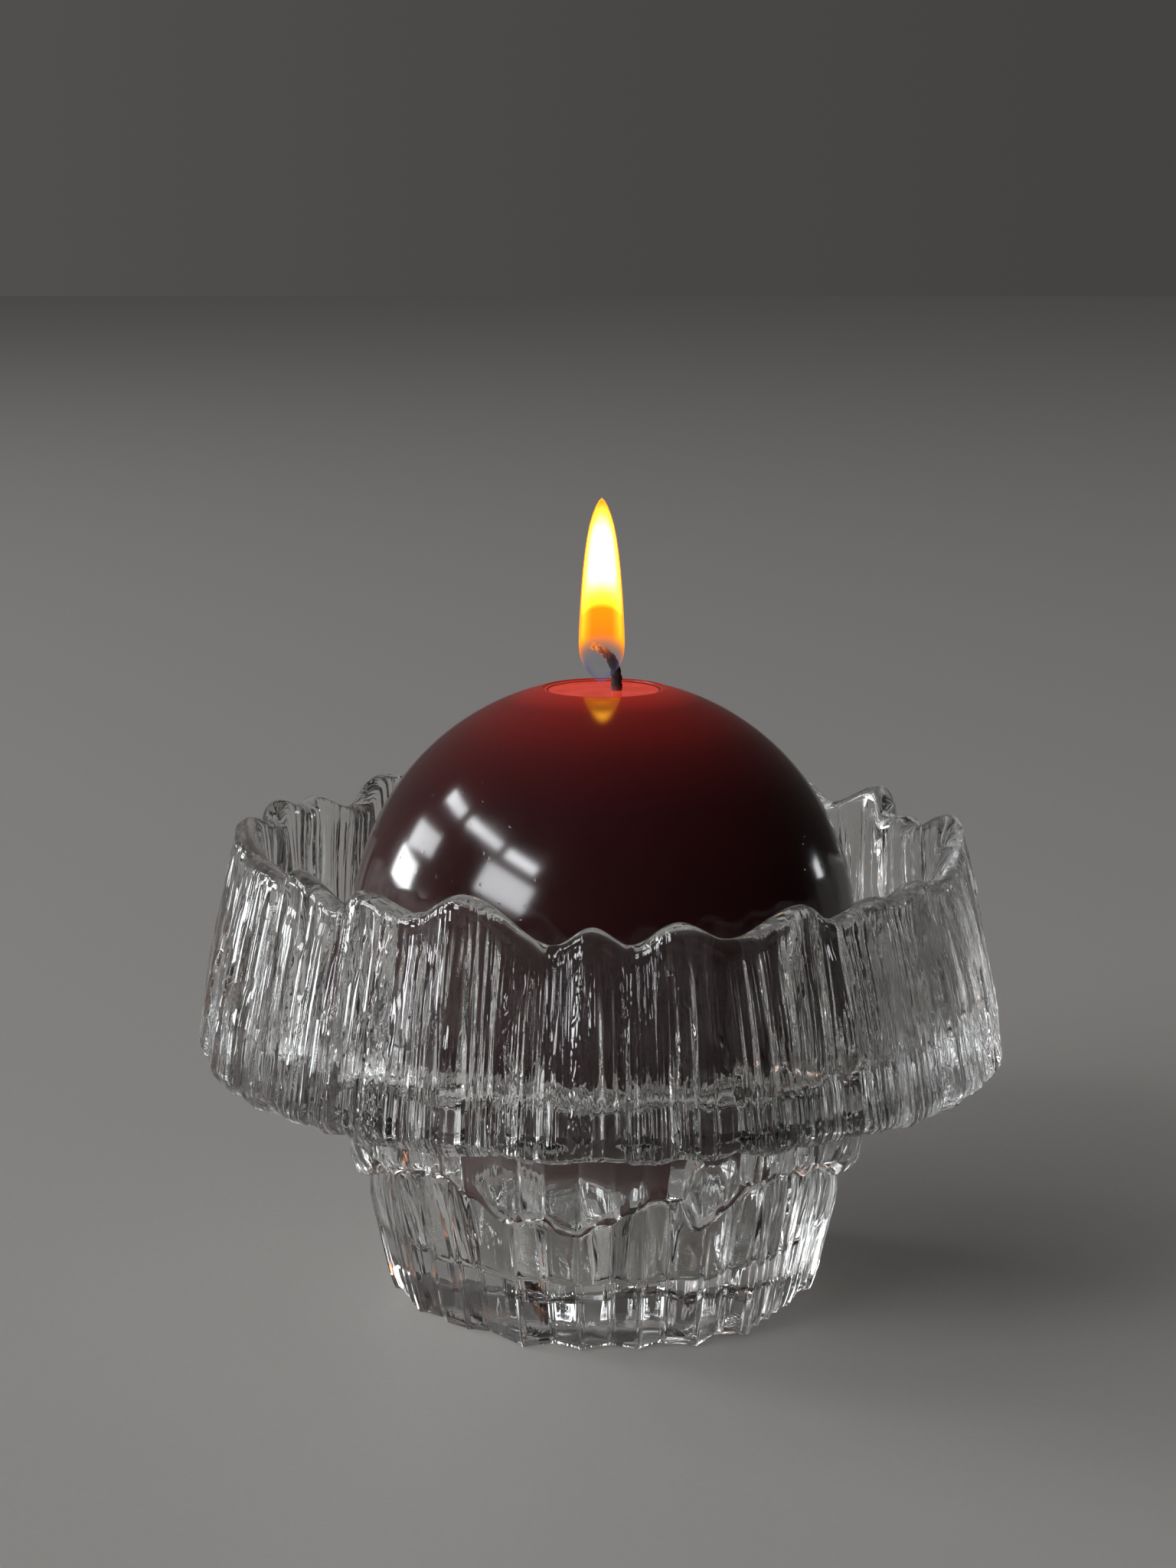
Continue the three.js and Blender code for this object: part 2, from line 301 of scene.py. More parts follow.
# The random reliefs of the glass and of the burnt wick
BARK_DRIFT = Sheet(40, 12 * MM, 3)
BARK_FINE = Sheet(300, 14 * MM, 5)
BARK_FINEST = Sheet(470, 6 * MM, 6)
BARK_PATCHES = Sheet(30, 12 * MM, 8)
PANEL_RIPPLE = Sheet(110, 5 * MM, 11)
NECK_DROOP = Sheet(26, 9 * MM, 12)
LEDGE_RAGS = Sheet(90, MM, 13)
INSIDE_FOLDS = Sheet(54, 25 * MM, 14)
INSIDE_WRINKLES = Sheet(110, 12 * MM, 15)
FLOOR_HEAPS = Sheet(120, MM, 16)
FLOOR_SWELLS = Sheet(47, MM, 17)
CHAR_LUMPS = Sheet(9, 0.7 * MM, 31)


@dataclass(frozen=True)
class Ridge:
    """One upright ridge of the bark, with rounded ends and steep sides."""

    at: float
    half_width: float
    depth: float
    foot: float
    head: float
    end: float = 1.2 * MM

    def relief(self, degrees: np.ndarray, height: np.ndarray) -> np.ndarray:
        """How far the ridge stands out.

        Args:
            degrees: directions.
            height: heights in metres.

        Returns:
            Distance outwards at each place.
        """
        across = np.abs(apart(degrees, self.at)) / self.half_width
        side = 1 - smoothstep(0.5, 1.0, across)
        rise = smoothstep(self.foot - self.end, self.foot + self.end * 0.2, height)
        fall = 1 - smoothstep(self.head - self.end * 0.2, self.head + self.end, height)
        return self.depth * side * rise * fall


# Crests and dips of the rim: degrees from +X, then millimetres from the middle of the waves
RIM_POINTS: tuple[Point, ...] = (
    (-174, 2), (-166, 0), (-158, 1), (-150, -0.5), (-144, 2.5), (-135, -2), (-130, 1.5),
    (-120, -1), (-111, 3), (-98, -4.7), (-92, -1.2), (-86, -4.6), (-79, -0.8), (-70, -4.2),
    (-59, 0.4), (-52, -3), (-44, -0.5), (-39, -1.5), (-33, 0), (-20, -3), (-7, 0.5), (0, -1),
    (9, 2.5), (19, -1), (24, 0), (29, -1.5), (34, 3), (45, -1), (54, 2.5), (63, -0.5), (71, 1.5),
    (80, -1.5), (90, 2), (98, -0.5), (106, 1), (116, -2), (125, 2), (132, 3), (141, -1),
    (150, 2), (154, 1), (160, 3), (167, 0.5), (176, 3),
)

# Corners between the foot's flat panels over half a turn: degrees, then millimetres from its radius
PANEL_CORNERS: tuple[Point, ...] = (
    (-172, 0.5), (-163, -0.5), (-151, 0), (-143, -1.5), (-139, -0.5), (-131, -1), (-125, -2),
    (-111, 1.4), (-104, -1.3), (-96, 0.8), (-88, -1.3), (-81, 0.6), (-74, -1.1), (-66, 1.7), (-57, -0.8),
    (-50, 1.2), (-43, -0.5), (-31, -1.5), (-27, -1), (-17, -1.5), (-6, 1),
)

# Narrow upright ribs on the foot, over half a turn: degrees, half width in degrees, then millimetres
# out of the panels (or into them)
FOOT_RIBS: tuple[tuple[float, float, float], ...] = (
    (-172, 0.9, 0.5), (-163, 0.8, -0.4), (-157, 0.8, 0.5), (-151, 0.9, 0.5), (-143, 1.0, -0.5),
    (-131, 0.8, 0.4), (-125, 0.9, -0.45), (-111, 0.8, 0.35), (-104, 0.7, -0.35), (-96, 0.8, 0.3),
    (-88, 0.7, -0.35), (-81, 0.8, 0.35), (-74, 0.7, -0.3), (-66, 0.8, 0.4), (-57, 0.9, -0.4),
    (-50, 1.2, 0.7), (-43, 1.0, 0.6), (-37, 1.1, 0.7), (-31, 1.0, 0.6), (-24, 1.1, 0.7),
    (-17, 1.0, 0.6), (-9, 1.1, 0.6), (-2, 1.0, 0.5),
)

# Lower edge of the neck where it hangs over the panels: degrees, then height in millimetres
COLLAR_EDGE: tuple[Point, ...] = (
    (-172, 20), (-160, 23), (-150, 25), (-140, 26), (-131, 26.5), (-123, 25), (-112, 22),
    (-103, 21.5), (-95, 20.5), (-89, 22), (-84, 24.5), (-77, 26), (-73, 24.5), (-69, 20.8),
    (-63, 22.5), (-56, 25), (-47, 26.5), (-35, 25.5), (-25, 24), (-12, 21), (0, 19), (12, 20.5),
    (25, 24), (40, 26), (52, 22), (63, 21), (75, 25), (90, 26.5), (104, 22), (115, 20.5),
    (127, 24), (140, 26), (155, 24), (168, 20),
)


@dataclass
class Row:
    """One point of the holder's profile, with the share of each relief that it takes."""

    radius: float
    height: float
    panel: float = 0
    edge: float = 0
    ledge: float = 0
    neck: float = 0
    bark: float = 0
    flute: float = 0
    wave: float = 0
    fold: float = 0
    heap: float = 0


@dataclass
class GlassHolder:
    """The pressed-glass casting: foot, neck, crown, lip and well."""

    columns: int = 960
    foot_radius: float = 33 * MM
    ring_width: float = 10 * MM
    punt: float = 0.8 * MM
    base_draft: float = 0.2
    base_wall: float = 5.5 * MM
    shoulder: float = 19 * MM
    well_floor: float = 10 * MM
    well_mouth: float = 35.0 * MM
    seat_height: float = 37.68 * MM
    seat_fillet: float = 2.5 * MM
    neck_radius: float = 40.6 * MM
    crown_bottom: float = 38 * MM
    crown_floor: float = 43.5 * MM
    crown_edge: float = 63.3 * MM
    crown_inside: float = 50.5 * MM
    corner_fillet: float = 2 * MM
    rim_height: float = 72.5 * MM
    rim_outside: float = 57.0 * MM
    rim_wall: float = 4.4 * MM
    flute_depth: float = 1.5 * MM
    fold_depth: float = 0.35 * MM
    droop_depth: float = 0.45 * MM
    ripple_depth: float = 0.05 * MM
    rag_height: float = 0.9 * MM
    heap_height: float = 1.5 * MM
    bark_limit: float = 1.5 * MM
    bark_grain: float = 0.11 * MM
    bark_drift: float = 0.3
    crest_height: float = 1.05
    crest_rounding: float = 1.8
    edge_mean: float = 23.5 * MM
    ridges: list[Ridge] = field(default_factory=list)

    def foot_rows(self) -> list[Row]:
        """Punt, standing ring and flat panels up to the neck's ragged edge."""
        inside = self.foot_radius - 1 * MM - self.ring_width
        rows = [
            Row(0, self.punt),
            Row(inside - 2 * MM, self.punt),
            Row(inside - 0.4 * MM, 0.1 * MM),
            Row(inside, 0),
            Row(self.foot_radius - 1.1 * MM, 0, panel=1),
            Row(self.foot_radius - 0.3 * MM, 0.25 * MM, panel=1),
            Row(self.foot_radius, 1.0 * MM, panel=1),
        ]
        count = 11
        for i in range(1, count + 1):
            share = i / count
            height = 1.0 * MM + (self.edge_mean - 1.0 * MM) * share
            radius = self.foot_radius + self.base_draft * min(height, self.shoulder)
            rows.append(Row(radius, height, panel=1 - 0.25 * share, edge=share))
        return rows

    def neck_rows(self) -> list[Row]:
        """The rolled edge over the panels, the neck, and the crown's underside."""
        panel_top = self.foot_radius + self.base_draft * self.shoulder
        step = self.neck_radius - panel_top
        edge = self.edge_mean
        return [
            Row(panel_top + 0.25 * step, edge - 0.5 * MM, panel=0.5, edge=1, ledge=1),
            Row(panel_top + 0.5 * step, edge - 0.25 * MM, panel=0.3, edge=1, ledge=1),
            Row(panel_top + 0.68 * step, edge + 0.4 * MM, panel=0.1, edge=1, ledge=0.6, neck=0.4),
            Row(panel_top + 0.82 * step, edge + 1.4 * MM, edge=1, neck=0.8),
            Row(panel_top + 0.93 * step, edge + 2.7 * MM, edge=1, neck=1),
            Row(self.neck_radius, edge + 4.5 * MM, edge=0.8, neck=1),
            Row(self.neck_radius + 0.4 * MM, edge + 7.5 * MM, edge=0.5, neck=0.9),
            Row(self.neck_radius + 0.7 * MM, edge + 10.5 * MM, edge=0.2, neck=0.7),
            Row(self.neck_radius + 1.4 * MM, self.crown_bottom - 1.4 * MM, neck=0.5),
            Row(self.neck_radius + 3.4 * MM, self.crown_bottom - 0.6 * MM, fold=0.5),
            Row(self.crown_edge - 14 * MM, self.crown_bottom - 0.3 * MM, fold=0.8),
            Row(self.crown_edge - 8 * MM, self.crown_bottom - 0.1 * MM, fold=1, bark=0.2),
            Row(self.crown_edge - 3.4 * MM, self.crown_bottom, bark=0.7, ledge=0.5),
            Row(self.crown_edge - 1.5 * MM, self.crown_bottom + 0.4 * MM, bark=0.9, ledge=0.5),
            Row(self.crown_edge - 0.5 * MM, self.crown_bottom + 1.5 * MM, bark=1, ledge=0.3),
        ]

    def bark_rows(self) -> list[Row]:
        """The crown's outside, from its lower edge to just under the rim."""
        rows = []
        low, high = self.crown_bottom + 3 * MM, self.rim_height - 2.2 * MM
        count = 27
        for i in range(count + 1):
            share = i / count
            height = low + (high - low) * share
            belly = 0.5 * MM * math.sin(math.pi * share)
            radius = self.crown_edge + (self.rim_outside - self.crown_edge) * share + belly
            fade = 1 - 0.6 * max(0.0, (share - 0.88) / 0.12)
            rows.append(Row(radius, height, bark=fade, flute=0.45 + 0.55 * share, wave=share ** 2))
        return rows

    def rim_rows(self) -> list[Row]:
        """The fire-polished rim, from its outside over the top to its inside."""
        radius = self.rim_wall / 2
        centre = (self.rim_outside - radius, self.rim_height - radius)
        return [
            Row(r, z, flute=1, wave=1, fold=0.3, bark=max(0.0, 0.38 - 0.09 * i))
            for i, (r, z) in enumerate(arc(centre, radius, 12, 180, 8))
        ]

    def inside_rows(self) -> list[Row]:
        """The crown's inside, its floor, the lip that carries the candle, and the well."""
        rows = []
        inside = self.rim_outside - self.rim_wall
        wall_foot = self.crown_floor + self.corner_fillet
        for share in (0.12, 0.28, 0.46, 0.64, 0.82):
            radius = inside + (self.crown_inside - inside) * share
            height = self.rim_height + (wall_foot - self.rim_height) * share
            heap = max(0.0, share - 0.4)
            rows.append(Row(radius, height, flute=1 - share, wave=(1 - share) ** 2, fold=1, heap=heap))
        corner = (self.crown_inside - self.corner_fillet, wall_foot)
        for i, (r, z) in enumerate(arc(corner, self.corner_fillet, 0, -90, 5)):
            rows.append(Row(r, z, fold=1.4 - 0.2 * i, heap=1 - 0.12 * i))
        seat = (self.well_mouth + self.seat_fillet, self.seat_height)
        rows += [Row(r, z) for r, z in arc(seat, self.seat_fillet, 90, 180, 6)]
        wall_top = self.foot_radius + self.base_draft * self.shoulder - self.base_wall
        rows.append(Row(self.well_mouth - 0.4 * MM, 30 * MM, fold=0.4, panel=-0.2))
        rows.append(Row(self.well_mouth - 1.2 * MM, 24 * MM, fold=0.6, panel=-0.6))
        rows.append(Row(wall_top, self.shoulder - 1 * MM, fold=0.6, panel=-0.8))
        floor_radius = self.foot_radius + self.base_draft * self.well_floor - self.base_wall
        fillet = 2 * MM
        corner = (floor_radius - fillet, self.well_floor + fillet)
        for i, (r, z) in enumerate(arc(corner, fillet, 0, -90, 4)):
            rows.append(Row(r, z, panel=-0.8 * (1 - i / 4)))
        rows.append(Row(0, self.well_floor))
        return rows

    def carve_ridges(self) -> list[Ridge]:
        """Choose the bark's ridges: long ones, ones cut short at either end, and fine ones."""
        chance = random.Random(20)
        low, high = self.crown_bottom / MM, self.rim_height / MM
        ridges = []

        def scatter(count: int, widths: Point, depths: Point, feet: Point, heads: Point) -> None:
            """Spread ridges round the crown.

            Args:
                count: how many.
                widths: least and most half width in degrees.
                depths: least and most depth in millimetres.
                feet: least and most height of the lower end in millimetres.
                heads: the same for the upper end.
            """
            for i in range(count):
                at = 360 * (i + chance.uniform(-0.45, 0.45)) / count
                ridges.append(Ridge(
                    at,
                    chance.uniform(*widths),
                    chance.uniform(*depths) * MM,
                    chance.uniform(*feet) * MM,
                    chance.uniform(*heads) * MM,
                ))

        scatter(44, (1.6, 3.6), (0.4, 1.0), (low - 6, low - 2), (80, 82))
        scatter(80, (0.7, 1.5), (0.25, 0.55), (low - 6, low + 3), (high - 14, 82))
        scatter(36, (0.9, 2.4), (0.35, 0.8), (low - 6, low - 2), (43, 58))
        scatter(30, (0.8, 2.0), (0.25, 0.5), (46, 62), (80, 82))
        scatter(150, (0.4, 0.75), (0.3, 0.55), (34, 46), (50, 82))
        scatter(120, (0.4, 0.7), (0.25, 0.5), (46, 60), (62, 82))
        return ridges

    def bark(self, degrees: np.ndarray, height: np.ndarray) -> np.ndarray:
        """Relief of the crown's bark-like outside."""
        where = degrees + self.bark_drift * BARK_DRIFT.at(degrees, height)
        relief = sum(ridge.relief(where, height) for ridge in self.ridges)
        relief = self.bark_limit * np.tanh(relief / self.bark_limit)
        fine = BARK_FINE.at(where, height) + 0.6 * BARK_FINEST.at(where, height)
        patch = 0.55 + 0.45 * BARK_PATCHES.at(degrees, height)
        return relief - self.bark_limit / 2 + self.bark_grain * fine * patch

    def ribs(self, degrees: np.ndarray) -> np.ndarray:
        """How far the foot's ribs stand out, or cut in, at some directions."""
        relief = np.zeros_like(degrees)
        for at, half_width, depth in FOOT_RIBS:
            for turned in (at, at + 180):
                across = np.abs(apart(degrees, turned)) / half_width
                relief += depth * MM * (1 - smoothstep(0.35, 1.0, across))
        return relief

    def crest(self, degrees: np.ndarray) -> np.ndarray:
        """Height of the rim's waves at some directions, rounded so that no dip is pinched."""
        steps = np.linspace(-self.crest_rounding, self.crest_rounding, 7)
        waves = sum(around(RIM_POINTS, degrees + step) for step in steps) / len(steps)
        return self.crest_height * MM * waves

    def mould(self, obj: Piece, rows: Sequence[Row]) -> None:
        """Move every corner by the reliefs that its row takes.

        Args:
            obj: the plain turned holder.
            rows: its profile.
        """
        places = corners(obj)
        which = row_numbers(obj)
        take = {
            name: np.array([getattr(row, name) for row in rows])[which]
            for name in ("panel", "edge", "ledge", "neck", "bark", "flute", "wave", "fold", "heap")
        }
        degrees = np.degrees(np.arctan2(places[:, 1], places[:, 0]))
        radius = np.hypot(places[:, 0], places[:, 1])
        height = places[:, 2]

        crest = self.crest(degrees)
        edge = around(COLLAR_EDGE, degrees) * MM - self.edge_mean
        half = [(at, self.foot_radius + off * MM) for at, off in PANEL_CORNERS]
        outline = half + [(at + 180, r) for at, r in half]
        panels = polygon(outline, degrees) - self.foot_radius
        panels += self.ripple_depth * PANEL_RIPPLE.at(degrees, height) + self.ribs(degrees)
        droop = NECK_DROOP.at(degrees, height) - edge / (2.5 * MM)
        folds = INSIDE_FOLDS.at(degrees, height) + 0.5 * INSIDE_WRINKLES.at(degrees, height)
        level = np.zeros_like(height)
        heaps = FLOOR_HEAPS.at(degrees, level) + 0.6 * FLOOR_SWELLS.at(degrees, level)

        out = take["panel"] * panels
        out += take["neck"] * self.droop_depth * droop
        out += take["bark"] * self.bark(degrees, height)
        out += take["flute"] * self.flute_depth * crest / (3 * MM)
        out += take["fold"] * self.fold_depth * folds * smoothstep(0, 20 * MM, radius)
        up = take["wave"] * crest + take["edge"] * edge
        up += take["ledge"] * self.rag_height * LEDGE_RAGS.at(degrees, level)
        up += take["heap"] * self.heap_height * heaps
        grow = np.where(radius > 1e-6, (radius + out) / np.maximum(radius, 1e-6), 1)
        moved = np.stack([places[:, 0] * grow, places[:, 1] * grow, height + up], axis=1)
        move_corners(obj, moved)
        bark = obj.data.attributes.new("bark", "FLOAT", "POINT")
        bark.data.foreach_set("value", take["bark"].astype(np.float32))

    def build(self) -> Piece:
        """Turn the casting, press its reliefs into it, and shade it smooth.

        Returns:
            The finished holder.
        """
        rows = self.foot_rows() + self.neck_rows() + self.bark_rows() + self.rim_rows() + self.inside_rows()
        obj = turn("glass_casting", [(row.radius, row.height) for row in rows], self.columns)
        self.ridges = self.carve_ridges()
        self.mould(obj, rows)
        smooth(obj)
        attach(obj, Body.HOLDER.value)
        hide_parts("glass_holder")
        return obj

    def dress(self, obj: Piece) -> None:
        """Give the casting its finish."""
        paint(obj, PressedGlass())


# ---- Candle ----


@dataclass
class BallCandle:
    """The wax ball: dipped coat, core and melted wax."""

    radius: float = 40 * MM
    coat_wall: float = 1.6 * MM
    mouth_radius: float = 9.5 * MM
    lip_bevel: float = 0.35 * MM
    creep: float = 0.25 * MM
    segments: int = 160
    rings: int = 112

    def centre(self) -> float:
        """Height of the ball's centre, from the top of the coat."""
        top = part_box("candle_coat")[1][2]
        return top - math.sqrt(self.radius ** 2 - self.mouth_radius ** 2)

    def coat(self) -> Piece:
        """A ball cut open at the top and flattened at the bottom, with a wall inwards.

        Returns:
            The dipped coat.
        """
        low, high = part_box("candle_coat")
        obj = primitive(
            "dipped_coat", bpy.ops.mesh.primitive_uv_sphere_add, segments=self.segments,
            ring_count=self.rings, radius=self.radius, location=(0, 0, self.centre()),
        )
        with editing(obj):
            bpy.ops.mesh.select_all(action="SELECT")
            bpy.ops.mesh.bisect(plane_co=(0, 0, high[2]), plane_no=(0, 0, 1), clear_outer=True)
            bpy.ops.mesh.select_all(action="SELECT")
            bpy.ops.mesh.bisect(
                plane_co=(0, 0, low[2]), plane_no=(0, 0, -1), clear_outer=True, use_fill=True,
            )
        apply_modifier(obj, "SOLIDIFY", thickness=self.coat_wall, offset=-1, use_even_offset=True)
        apply_modifier(
            obj, "BEVEL", width=self.lip_bevel, segments=3, limit_method="ANGLE",
            angle_limit=math.radians(40),
        )
        smooth(obj)
        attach(obj, Body.CANDLE.value)
        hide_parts("candle_coat")
        return obj

    def pool(self) -> Piece:
        """The melted wax: a shallow bowl that creeps up the coat's lip.

        Returns:
            The pool.
        """
        low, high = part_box("melt_pool")
        radius = (high[0] - low[0]) / 2
        top, bottom = high[2], low[2]
        outline: list[Point] = [
            (0, bottom), (0.4 * radius, bottom + 0.3 * MM), (0.75 * radius, bottom + 1.0 * MM),
            (radius, top - 0.8 * MM), (radius, top + self.creep),
            (radius - 0.3 * MM, top + 0.4 * self.creep), (radius - 0.9 * MM, top),
            (0.5 * radius, top), (0, top),
        ]
        obj = turn("melted_wax", outline, 96)
        smooth(obj)
        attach(obj, Body.CANDLE.value)
        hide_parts("melt_pool")
        return obj

    def dress(self, coat: Piece, pool: Piece) -> None:
        """Give the coat, the pool and the core their finishes."""
        low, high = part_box("candle_coat")
        paint(coat, DippedWax(top=high[2], bottom=low[2]))
        paint(pool, MeltedWax(edge=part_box("melt_pool")[1][0]))
        paint(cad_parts["candle_core"], CoreWax(top=high[2]))


@dataclass
class Wick:
    """The braided wick, with its charred, bent end."""

    radius: float = 0.9 * MM
    tip_radius: float = 0.62 * MM
    offset: float = 2 * MM
    sides: int = 20
    strand_depth: float = 0.09 * MM
    bend: tuple[Point, ...] = ((0, 0), (0, 2.4), (-0.6, 4.5), (-1.9, 6.1), (-3.9, 7.2))

    def line(self, surface: float, bottom: float) -> list[Vector]:
        """Points up the wick, from the bottom of the wax to its tip."""
        straight = [bottom, (bottom + surface) / 2, surface - 4 * MM]
        points = [Vector((self.offset, 0, z)) for z in straight]
        points += [Vector((self.offset + x * MM, 0, surface + z * MM)) for x, z in self.bend]
        return points

    def build(self) -> Piece:
        """Sweep the wick along its line, thinning towards the tip, and twist in its strands.

        Returns:
            The wick.
        """
        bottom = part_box("wick")[0][2]
        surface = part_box("melt_pool")[1][2]
        curve = bpy.data.curves.new("wick_line", "CURVE")
        curve.dimensions = "3D"
        curve.bevel_depth = self.radius
        curve.bevel_resolution = self.sides // 4
        curve.use_fill_caps = True
        curve.resolution_u = 24
        points = self.line(surface, bottom)
        spline = curve.splines.new("BEZIER")
        spline.bezier_points.add(len(points) - 1)
        for i, (knot, place) in enumerate(zip(spline.bezier_points, points)):
            knot.co = place
            knot.handle_left_type = knot.handle_right_type = "AUTO"
            above = max(0, i - 3) / (len(points) - 4)
            knot.radius = 1 + (self.tip_radius / self.radius - 1) * above
        obj = bpy.data.objects.new("braided_wick", curve)
        bpy.context.scene.collection.objects.link(obj)
        pick(obj)
        bpy.ops.object.convert(target="MESH")
        obj = bpy.context.active_object
        self.braid(obj, surface)
        smooth(obj)
        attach(obj, Body.CANDLE.value)
        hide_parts("wick")
        return obj

    def braid(self, obj: Piece, surface: float) -> None:
        """Roughen the burnt end into lumps of char.

        Args:
            obj: the swept wick.
            surface: height of the melted wax.
        """
        places = corners(obj)
        normals = np.empty(places.size)
        obj.data.vertices.foreach_get("normal", normals)
        normals = normals.reshape(-1, 3)
        twist = np.degrees(np.arctan2(places[:, 1], places[:, 0] - self.offset)) + places[:, 2] / MM * 90
        lumps = self.strand_depth * np.cos(np.radians(3 * twist))
        lumps += 0.1 * MM * CHAR_LUMPS.at(twist, places[:, 2])
        burnt = smoothstep(surface, surface + 1.5 * MM, places[:, 2])
        move_corners(obj, places + normals * (lumps * burnt)[:, None])

    def dress(self, obj: Piece) -> None:
        """Give the wick its finish."""
        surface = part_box("melt_pool")[1][2]
        paint(obj, BurntCotton(surface=surface, tip=tuple(self.line(surface, 0)[-1])))


@dataclass
class Flame:
    """The flame: a drop drawn out to a point."""

    outline: tuple[Point, ...] = (
        (0, 0), (0.16, 0.005), (0.35, 0.025), (0.56, 0.05), (0.76, 0.085), (0.9, 0.12), (0.98, 0.16),
        (1, 0.21), (0.99, 0.28), (0.965, 0.35), (0.93, 0.43), (0.88, 0.52), (0.82, 0.61), (0.74, 0.7),
        (0.64, 0.785), (0.53, 0.855), (0.4, 0.91), (0.26, 0.955), (0.12, 0.985), (0, 1),
    )

    def build(self) -> Piece:
        """Turn the drop and smooth its facets.

        Returns:
            The flame.
        """
        low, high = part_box("flame")
        radius = (high[1] - low[1]) / 2
        length = high[2] - low[2]
        obj = turn("flame_drop", [(radius * out, low[2] + length * up) for out, up in self.outline], 48)
        with editing(obj):
            bpy.ops.mesh.select_all(action="SELECT")
            bpy.ops.transform.translate(value=((low[0] + high[0]) / 2, 0, 0))
        smooth(obj)
        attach(obj, Body.CANDLE.value)
        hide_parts("flame")
        return obj

    def dress(self, obj: Piece) -> None:
        """Give the flame its finish."""
        low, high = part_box("flame")
        obj.visible_shadow = False
        paint(obj, BurningGas(base=low[2], tip=high[2]))


# ---- Finishes ----


def grey(value: float) -> Colour:
    """A grey of this brightness."""
    return (value, value, value, 1)


class Finish(Protocol):
    """Anything that can build its own material."""

    def material(self) -> Material:
        """Build the material."""


class Recipe:
    """A material being put together node by node."""

    wrap_radius: float = 60 * MM

    def __init__(self, name: str) -> None:
        """Start an empty material of this name."""
        self.material = bpy.data.materials.new(name)
        self.material.use_nodes = True
        self.tree = self.material.node_tree
        self.tree.nodes.clear()
        self.output = self.tree.nodes.new("ShaderNodeOutputMaterial")
        self.place = self.tree.nodes.new("ShaderNodeTexCoord").outputs["Object"]

    def add(
        self, kind: str, inputs: dict[str | int, object] | None = None, **settings: object,
    ) -> bpy.types.Node:
        """Add a node.

        Args:
            kind: its type.
            inputs: for each socket, a value or the socket that feeds it.
            settings: the node's own properties.

        Returns:
            The node.
        """
        node = self.tree.nodes.new(kind)
        for key, value in settings.items():
            setattr(node, key, value)
        for key, value in (inputs or {}).items():
            if isinstance(value, Socket):
                self.tree.links.new(value, node.inputs[key])
            else:
                node.inputs[key].default_value = value
        return node

    def finish(self, shader: Socket) -> Material:
        """Send a shader to the surface and return the material."""
        self.tree.links.new(shader, self.output.inputs["Surface"])
        return self.material

    def vector(self, operation: str, inputs: dict[str | int, object], output: str = "Vector") -> Socket:
        """One step of arithmetic on vectors."""
        return self.add("ShaderNodeVectorMath", inputs, operation=operation).outputs[output]

    def stretched(self, scale: tuple[float, float, float]) -> Socket:
        """The object's coordinates, stretched along its axes."""
        return self.add("ShaderNodeMapping", {"Vector": self.place, "Scale": scale}).outputs["Vector"]

    def wrapped(self, along: float) -> Socket:
        """Coordinates wrapped round the axis, so that streaks run true however the wall leans.

        Args:
            along: how much a pattern is drawn out upwards; 1 is not at all, and less is more.

        Returns:
            The coordinates.
        """
        flat = self.vector("MULTIPLY", {0: self.place, 1: (1, 1, 0)})
        unit = self.vector("NORMALIZE", {0: flat})
        ring = self.vector("SCALE", {0: unit, "Scale": self.wrap_radius})
        rise = self.vector("MULTIPLY", {0: self.place, 1: (0, 0, along)})
        return self.vector("ADD", {0: ring, 1: rise})

    def noise(self, where: Socket, scale: float, detail: float = 2) -> Socket:
        """A noise pattern from 0 to 1."""
        inputs = {"Vector": where, "Scale": scale, "Detail": detail}
        return self.add("ShaderNodeTexNoise", inputs).outputs["Fac"]

    def height(self) -> Socket:
        """Height above the table, in metres."""
        return self.add("ShaderNodeSeparateXYZ", {"Vector": self.place}).outputs["Z"]

    def radius(self) -> Socket:
        """Distance from the axis, in metres."""
        return self.vector("LENGTH", {0: self.vector("MULTIPLY", {0: self.place, 1: (1, 1, 0)})}, "Value")

    def share(
        self, value: Socket, low: float, high: float, least: float = 0, most: float = 1,
    ) -> Socket:
        """How far a value lies from low to high, from least to most."""
        limits = {"From Min": low, "From Max": high, "To Min": least, "To Max": most}
        return self.add("ShaderNodeMapRange", {"Value": value, **limits}, clamp=True).outputs["Result"]

    def blend(self, factor: object, first: object, second: object, kind: str = "MIX") -> Socket:
        """A colour between two, or their product."""
        inputs = {0: factor, 6: first, 7: second}
        return self.add("ShaderNodeMix", inputs, data_type="RGBA", blend_type=kind).outputs[2]

    def maths(self, operation: str, *values: object) -> Socket:
        """One step of arithmetic."""
        return self.add("ShaderNodeMath", dict(enumerate(values)), operation=operation).outputs[0]

    def plus(self, first: object, second: object) -> Socket:
        """The sum of two values."""
        return self.maths("ADD", first, second)

    def times(self, first: object, second: object) -> Socket:
        """The product of two values."""
        return self.maths("MULTIPLY", first, second)

    def cells(self, where: Socket, scale: float, feature: str = "F1") -> bpy.types.Node:
        """A pattern of random cells."""
        return self.add("ShaderNodeTexVoronoi", {"Vector": where, "Scale": scale}, feature=feature)

    def ramp(self, factor: Socket, stops: Sequence[tuple[float, Colour]]) -> Socket:
        """Colours along a factor."""
        node = self.add("ShaderNodeValToRGB", {"Fac": factor})
        while len(node.color_ramp.elements) < len(stops):
            node.color_ramp.elements.new(0.5)
        for element, (at, colour) in zip(node.color_ramp.elements, stops):
            element.position = at
            element.color = colour
        return node.outputs["Color"]

    def bump(self, height: Socket, strength: object, distance: float) -> Socket:
        """A normal roughened by a height pattern."""
        return self.add(
            "ShaderNodeBump", {"Height": height, "Strength": strength, "Distance": distance},
        ).outputs["Normal"]


